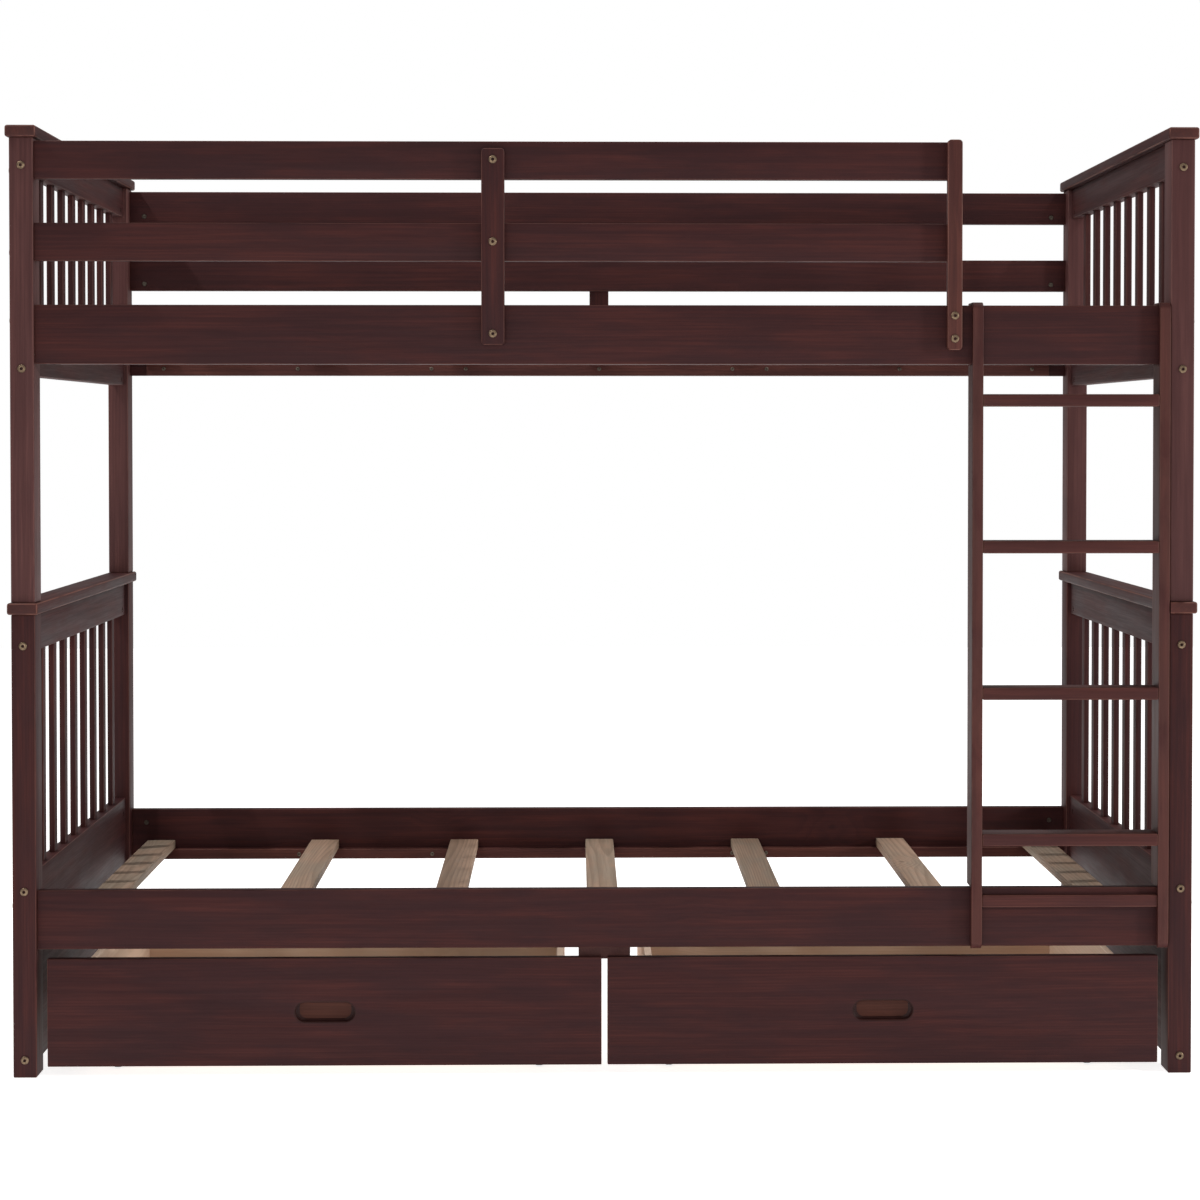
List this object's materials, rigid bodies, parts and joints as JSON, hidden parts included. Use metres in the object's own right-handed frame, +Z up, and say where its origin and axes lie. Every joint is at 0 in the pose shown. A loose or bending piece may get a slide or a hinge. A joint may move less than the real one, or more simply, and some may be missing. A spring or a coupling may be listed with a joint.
{
  "type": "bunk bed",
  "caption": "Twin-over-twin wooden bunk bed in dark stain with a fixed ladder, guard rails, slatted bases and rolling storage drawers under the lower bunk.",
  "frame": {"origin": "on the floor, in the middle of the bed's length and depth", "axes": "+X along the bed towards the ladder's end, +Y from the ladder's side to the back, +Z up"},
  "size_m": [2.014, 1.1, 1.609],
  "materials": {
    "stained_pine": "dark espresso stain under satin lacquer",
    "bare_pine": "planed and unfinished",
    "drawer_board": "pale, planed and unfinished",
    "drawer_base": "thin plywood sheet, unfinished",
    "dowel_beech": "turned, unfinished",
    "bolt_brass": "antique, lightly polished",
    "zinc_steel": "zinc plated",
    "screw_steel": "plain",
    "caster_steel": "pressed sheet, zinc plated",
    "wheel_plastic": "moulded, matt"
  },
  "bodies": {
    "frame": {"barrel_nuts": "zinc_steel", "bolts": "bolt_brass", "guard_end_support": "stained_pine", "guard_middle_support_back": "stained_pine", "guard_middle_support_front": "stained_pine", "ladder_rungs": "stained_pine", "ladder_stringer_left": "stained_pine", "ladder_stringer_right": "stained_pine", "low_guard_rail_back": "stained_pine", "low_guard_rail_front": "stained_pine", "lower_cap_left": "stained_pine", "lower_cap_right": "stained_pine", "lower_cleats": "stained_pine", "lower_end_panel_left": "stained_pine", "lower_end_panel_right": "stained_pine", "lower_end_top_rail_left": "stained_pine", "lower_end_top_rail_right": "stained_pine", "lower_post_back_left": "stained_pine", "lower_post_back_right": "stained_pine", "lower_post_front_left": "stained_pine", "lower_post_front_right": "stained_pine", "lower_side_rail_back": "stained_pine", "lower_side_rail_front": "stained_pine", "lower_slats": "bare_pine", "lower_spindles": "stained_pine", "screws": "screw_steel", "stacking_pins": "zinc_steel", "stop_block": "stained_pine", "top_guard_rail_back": "stained_pine", "top_guard_rail_front": "stained_pine", "upper_cap_left": "stained_pine", "upper_cap_right": "stained_pine", "upper_cleats": "stained_pine", "upper_end_bottom_rail_left": "stained_pine", "upper_end_bottom_rail_right": "stained_pine", "upper_end_top_rail_left": "stained_pine", "upper_end_top_rail_right": "stained_pine", "upper_post_back_left": "stained_pine", "upper_post_back_right": "stained_pine", "upper_post_front_left": "stained_pine", "upper_post_front_right": "stained_pine", "upper_side_rail_back": "stained_pine", "upper_side_rail_front": "stained_pine", "upper_slats": "bare_pine", "upper_spindles": "stained_pine", "wooden_dowels": "dowel_beech"},
    "drawer_left": {"drawer_left_back": "drawer_board", "drawer_left_bottom": "drawer_base", "drawer_left_caster_frames": "caster_steel", "drawer_left_front": "stained_pine", "drawer_left_sides": "drawer_board"},
    "drawer_right": {"drawer_right_back": "drawer_board", "drawer_right_bottom": "drawer_base", "drawer_right_caster_frames": "caster_steel", "drawer_right_front": "stained_pine", "drawer_right_sides": "drawer_board"},
    "left_front_wheels": {"drawer_left_front_wheels": "wheel_plastic"},
    "left_rear_wheels": {"drawer_left_rear_wheels": "wheel_plastic"},
    "right_front_wheels": {"drawer_right_front_wheels": "wheel_plastic"},
    "right_rear_wheels": {"drawer_right_rear_wheels": "wheel_plastic"}
  },
  "joints": [
    {"name": "drawer_left_slide", "type": "slide", "parent": "frame", "child": "drawer_left", "axis": [0, -1, 0], "range_m": [0, 0.5]},
    {"name": "drawer_right_slide", "type": "slide", "parent": "frame", "child": "drawer_right", "axis": [0, -1, 0], "range_m": [0, 0.5]},
    {"name": "left_front_wheel_spin", "type": "hinge", "parent": "drawer_left", "child": "left_front_wheels", "pos_m": [-0.47425, -0.455, 0.018], "axis": [1, 0, 0], "continuous": true},
    {"name": "left_rear_wheel_spin", "type": "hinge", "parent": "drawer_left", "child": "left_rear_wheels", "pos_m": [-0.47425, 0.053, 0.018], "axis": [1, 0, 0], "continuous": true},
    {"name": "right_front_wheel_spin", "type": "hinge", "parent": "drawer_right", "child": "right_front_wheels", "pos_m": [0.47425, -0.455, 0.018], "axis": [1, 0, 0], "continuous": true},
    {"name": "right_rear_wheel_spin", "type": "hinge", "parent": "drawer_right", "child": "right_rear_wheels", "pos_m": [0.47425, 0.053, 0.018], "axis": [1, 0, 0], "continuous": true}
  ],
  "couplings": [
    {"joint": "left_front_wheel_spin", "follows": "drawer_left_slide", "rad_per_m": 55.556},
    {"joint": "left_rear_wheel_spin", "follows": "drawer_left_slide", "rad_per_m": 55.556},
    {"joint": "right_front_wheel_spin", "follows": "drawer_right_slide", "rad_per_m": 55.556},
    {"joint": "right_rear_wheel_spin", "follows": "drawer_right_slide", "rad_per_m": 55.556}
  ]
}
